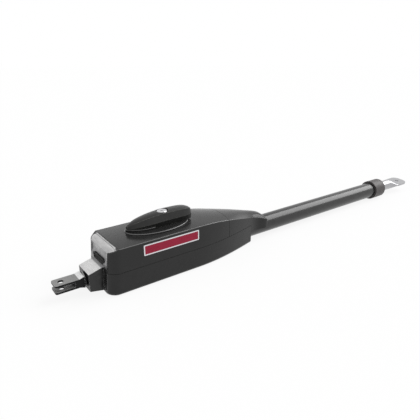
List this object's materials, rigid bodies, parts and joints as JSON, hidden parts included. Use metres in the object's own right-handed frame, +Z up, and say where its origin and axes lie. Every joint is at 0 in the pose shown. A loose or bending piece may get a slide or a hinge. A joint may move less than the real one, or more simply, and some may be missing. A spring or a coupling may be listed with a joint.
{
  "type": "linear swing gate opener",
  "caption": "Electric ram that opens a swing gate: rear pivot fork, geared motor in a dark housing, lockable release lever, and a screw-driven ram with a flat eye.",
  "frame": {"origin": "centre of the rear fork's pin hole, on the ram's axis", "axes": "+X along the ram towards its eye, +Z up along the rear pin, -Y the side with the badge"},
  "size_m": [1.1725, 0.1107, 0.1281],
  "materials": {
    "dark_plastic": "fine grained black-grey plastic",
    "lever_plastic": "smooth satin black plastic",
    "black_rubber": "matt",
    "grommet_rubber": "matt",
    "cast_aluminium": "blasted, silver painted",
    "machined_aluminium": "die cast",
    "zinc_steel": "zinc plated, satin",
    "black_screws": "blackened",
    "silver_border": "silver print",
    "red_plate": "glossy crimson",
    "dark_painted_steel": "semi-gloss powder coat",
    "cap_plastic": "moulded brown-grey plastic",
    "chrome_steel": "bright zinc or chrome",
    "bearing_steel": "ground",
    "gear_steel": "oiled",
    "gear_nylon": "natural nylon",
    "bronze": "bronze",
    "motor_steel": "zinc plated",
    "magnet": "ferrite",
    "black_plastic": "moulded",
    "lock_chrome": "polished",
    "board_green": "solder mask",
    "terminal_plastic": "moulded"
  },
  "bodies": {
    "housing": {"rear_fork": "zinc_steel", "fork_washer": "zinc_steel", "fork_spacer_ring": "black_rubber", "fork_bolt": "zinc_steel", "end_casting": "cast_aluminium", "cable_grommet": "grommet_rubber", "frame_screws": "black_screws", "lower_cover": "dark_plastic", "cover_seal": "black_rubber", "upper_cover": "dark_plastic", "nose_cover": "dark_plastic", "badge_border": "silver_border", "badge_plate": "red_plate", "cover_screws": "black_screws", "gear_chassis": "machined_aluminium", "guide_rod": "bearing_steel", "bearing_outer_races": "bearing_steel", "bearing_balls": "bearing_steel", "motor_can": "motor_steel", "motor_end_bell": "machined_aluminium", "brush_caps": "black_plastic", "motor_magnets": "magnet", "motor_screws": "black_screws", "idler_axle": "bearing_steel", "idler_clip": "bearing_steel", "outer_tube": "dark_painted_steel", "tube_pins": "bearing_steel", "front_cap": "cap_plastic", "wiper_seal": "black_rubber", "guide_bush": "gear_nylon", "terminal_board": "board_green", "board_screws": "black_screws", "terminal_blocks": "terminal_plastic", "relay": "black_plastic", "capacitor": "black_plastic"},
    "motor_rotor": {"motor_shaft": "bearing_steel", "motor_armature": "motor_steel", "motor_pinion": "gear_steel"},
    "idler": {"idler_wheel": "gear_nylon", "idler_pinion": "gear_steel"},
    "output": {"output_gear": "gear_steel"},
    "screw": {"lead_screw": "bearing_steel", "bearing_inner_races": "bearing_steel", "gear_retaining_ring": "bearing_steel", "screw_tip_guide": "gear_nylon"},
    "sleeve": {"dog_sleeve": "gear_steel"},
    "shifter": {"shift_fork": "gear_steel"},
    "lever": {"release_lever": "lever_plastic", "lever_shaft": "bearing_steel", "lock_bezel": "black_plastic"},
    "lock": {"lock_cylinder": "lock_chrome", "lock_cam": "lock_chrome"},
    "nut": {"ram_nut": "bronze"},
    "ram": {"ram_tube": "chrome_steel"}
  },
  "joints": [
    {"name": "motor_spin", "type": "hinge", "parent": "housing", "child": "motor_rotor", "pos_m": [0.15, 0, 0.038], "axis": [1, 0, 0], "range_deg": [0, 126000]},
    {"name": "idler_spin", "type": "hinge", "parent": "housing", "child": "idler", "pos_m": [0.2, 0.01971, 0.01538], "axis": [1, 0, 0], "range_deg": [-42000, 0]},
    {"name": "output_spin", "type": "hinge", "parent": "housing", "child": "output", "pos_m": [0.217, 0, 0], "axis": [1, 0, 0], "range_deg": [0, 18000]},
    {"name": "screw_spin", "type": "hinge", "parent": "housing", "child": "screw", "pos_m": [0.27, 0, 0], "axis": [1, 0, 0], "range_deg": [0, 18000]},
    {"name": "ram_slide", "type": "slide", "parent": "housing", "child": "nut", "axis": [1, 0, 0], "range_m": [0, 0.4]},
    {"name": "ram_roll", "type": "hinge", "parent": "nut", "child": "ram", "pos_m": [0.4, 0, 0], "axis": [1, 0, 0], "continuous": true},
    {"name": "lever_turn", "type": "hinge", "parent": "housing", "child": "lever", "pos_m": [0.244, 0, 0.08], "axis": [0, 0, 1], "range_deg": [0, 180]},
    {"name": "shifter_slide", "type": "slide", "parent": "housing", "child": "shifter", "axis": [1, 0, 0], "range_m": [0, 0.006]},
    {"name": "sleeve_slide", "type": "slide", "parent": "screw", "child": "sleeve", "axis": [1, 0, 0], "range_m": [0, 0.006]},
    {"name": "lock_turn", "type": "hinge", "parent": "lever", "child": "lock", "pos_m": [0.217, 0, 0.09], "axis": [0, 0, 1], "range_deg": [0, 90]}
  ],
  "couplings": [
    {"joint": "motor_spin", "follows": "ram_slide", "rad_per_m": 5497.8},
    {"joint": "idler_spin", "follows": "ram_slide", "rad_per_m": -1832.6},
    {"joint": "output_spin", "follows": "ram_slide", "rad_per_m": 785.4},
    {"joint": "screw_spin", "follows": "ram_slide", "rad_per_m": 785.4},
    {"joint": "shifter_slide", "follows": "lever_turn", "m_per_rad": 0.0019099},
    {"joint": "sleeve_slide", "follows": "lever_turn", "m_per_rad": 0.0019099}
  ]
}
